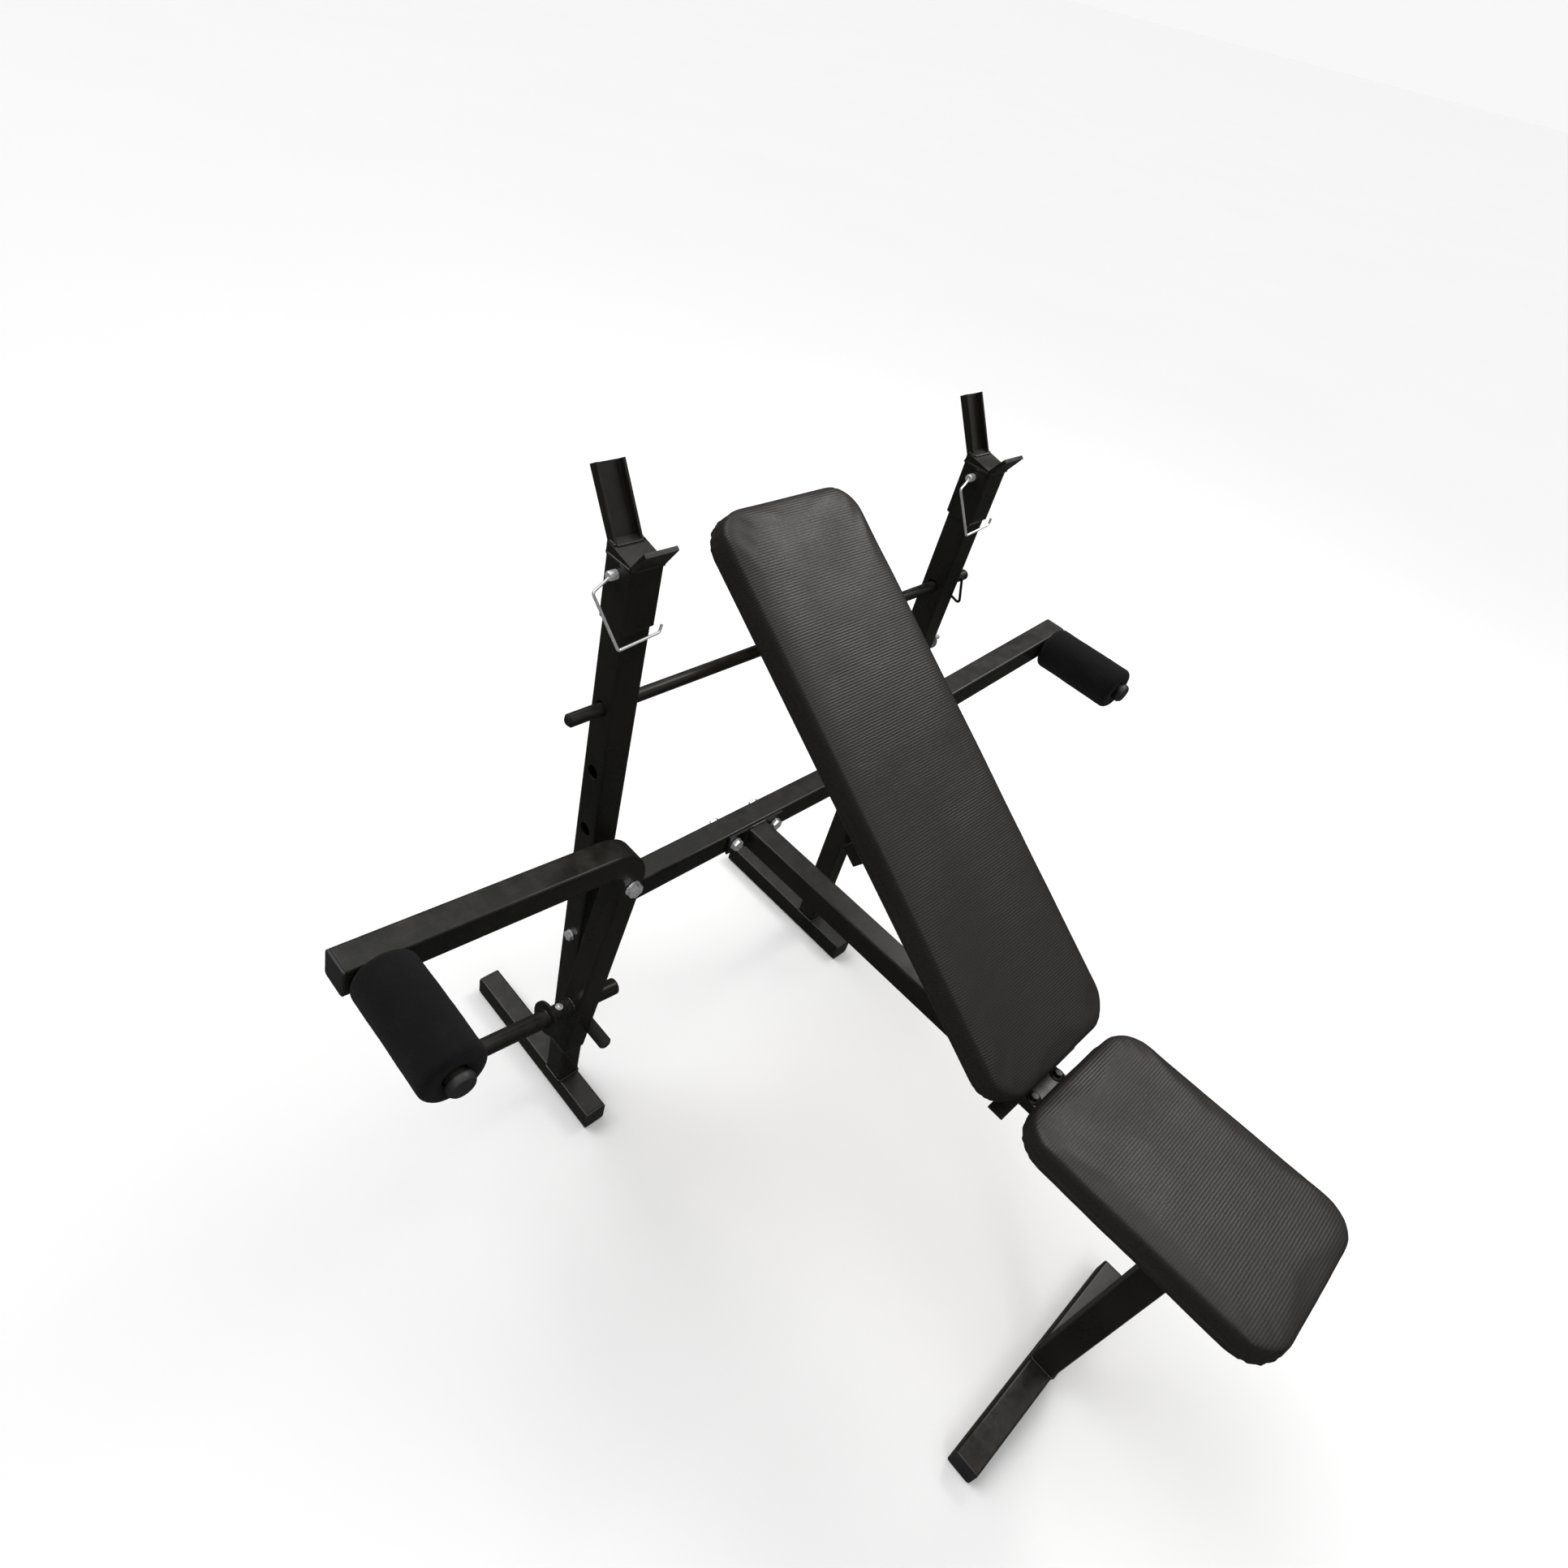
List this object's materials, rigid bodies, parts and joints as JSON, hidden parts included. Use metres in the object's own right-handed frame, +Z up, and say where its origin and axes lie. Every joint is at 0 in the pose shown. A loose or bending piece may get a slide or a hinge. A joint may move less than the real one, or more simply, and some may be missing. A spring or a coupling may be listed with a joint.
{
  "type": "adjustable weight bench",
  "caption": "Weight bench with a padded seat and hinged backrest on a square-tube frame, barbell holders on uprights, a support bar and swinging fly levers with foam rollers.",
  "frame": {"origin": "on the floor, at the middle of the bounding box in X and Y", "axes": "+X across the bench towards the side of the bar clip, +Y from the seat towards the uprights, +Z up"},
  "size_m": [1.3454, 1.1376, 1.081],
  "materials": {
    "frame_paint": "semi-gloss black powder coat",
    "vinyl": "fine-grained black vinyl over foam",
    "board": "plain plywood",
    "foam": "matte closed-cell foam",
    "zinc": "bright zinc plate",
    "pin_steel": "bright zinc-plated pin and spring wire",
    "stop_sleeve": "black rubber",
    "caps": "moulded black polyethylene"
  },
  "bodies": {
    "frame": {"left_foot": "frame_paint", "left_foot_front_cap": "caps", "left_foot_rear_cap": "caps", "left_upright": "frame_paint", "left_beam_bolt_upper": "zinc", "left_beam_bolt_lower": "zinc", "left_holder": "frame_paint", "left_pivot_bush": "zinc", "left_pivot_bolt": "zinc", "left_lever_stop": "stop_sleeve", "main_beam_bolt_left": "zinc", "right_foot": "frame_paint", "right_foot_front_cap": "caps", "right_foot_rear_cap": "caps", "right_upright": "frame_paint", "right_beam_bolt_upper": "zinc", "right_beam_bolt_lower": "zinc", "right_holder": "frame_paint", "right_pivot_bush": "zinc", "right_pivot_bolt": "zinc", "right_lever_stop": "stop_sleeve", "main_beam_bolt_right": "zinc", "cross_beam": "frame_paint", "main_beam": "frame_paint", "main_beam_cap": "caps", "front_post": "frame_paint", "front_foot": "frame_paint", "front_foot_left_cap": "caps", "front_foot_right_cap": "caps", "hinge_bracket": "frame_paint", "hinge_bolt": "zinc", "seat_pad": "vinyl", "seat_board": "board", "seat_bracket_rear": "frame_paint", "seat_bracket_front": "frame_paint"},
    "backrest": {"backrest_rail": "frame_paint", "backrest_rail_cap": "caps", "backrest_pad": "vinyl", "backrest_board": "board"},
    "support_bar": {"support_bar": "frame_paint", "support_bar_clip": "frame_paint"},
    "left_lever": {"left_lever": "frame_paint", "left_lever_arm_cap": "caps", "left_lever_leg_cap": "caps", "left_plate_peg": "frame_paint", "left_plate_peg_cap": "caps", "left_roller_tube": "frame_paint", "left_roller_plug": "caps"},
    "left_foam_roller": {"left_foam_roller": "foam"},
    "left_lock_pin": {"left_lock_pin": "pin_steel"},
    "right_lever": {"right_lever": "frame_paint", "right_lever_arm_cap": "caps", "right_lever_leg_cap": "caps", "right_plate_peg": "frame_paint", "right_plate_peg_cap": "caps", "right_roller_tube": "frame_paint", "right_roller_plug": "caps"},
    "right_foam_roller": {"right_foam_roller": "foam"},
    "right_lock_pin": {"right_lock_pin": "pin_steel"}
  },
  "joints": [
    {"name": "backrest_recline", "type": "hinge", "parent": "frame", "child": "backrest", "pos_m": [0, -0.15996, 0.51392], "axis": [1, 0, 0], "range_deg": [0, 28]},
    {"name": "support_bar_slide", "type": "slide", "parent": "frame", "child": "support_bar", "axis": [1, 0, 0], "range_m": [0, 0.3]},
    {"name": "left_lever_swing", "type": "hinge", "parent": "frame", "child": "left_lever", "pos_m": [-0.296, 0.34225, 0.565], "axis": [0, 1, 0], "range_deg": [0, 90]},
    {"name": "left_roller_spin", "type": "hinge", "parent": "left_lever", "child": "left_foam_roller", "pos_m": [-0.631, 0.26925, 0.64656], "axis": [0, 1, 0], "continuous": true},
    {"name": "left_lock_pin_pull", "type": "slide", "parent": "frame", "child": "left_lock_pin", "axis": [-1, 0, 0], "range_m": [0, 0.075]},
    {"name": "right_lever_swing", "type": "hinge", "parent": "frame", "child": "right_lever", "pos_m": [0.296, 0.34225, 0.565], "axis": [0, -1, 0], "range_deg": [0, 90]},
    {"name": "right_roller_spin", "type": "hinge", "parent": "right_lever", "child": "right_foam_roller", "pos_m": [0.631, 0.26925, 0.64656], "axis": [0, 1, 0], "continuous": true},
    {"name": "right_lock_pin_pull", "type": "slide", "parent": "frame", "child": "right_lock_pin", "axis": [-1, 0, 0], "range_m": [0, 0.075]}
  ]
}
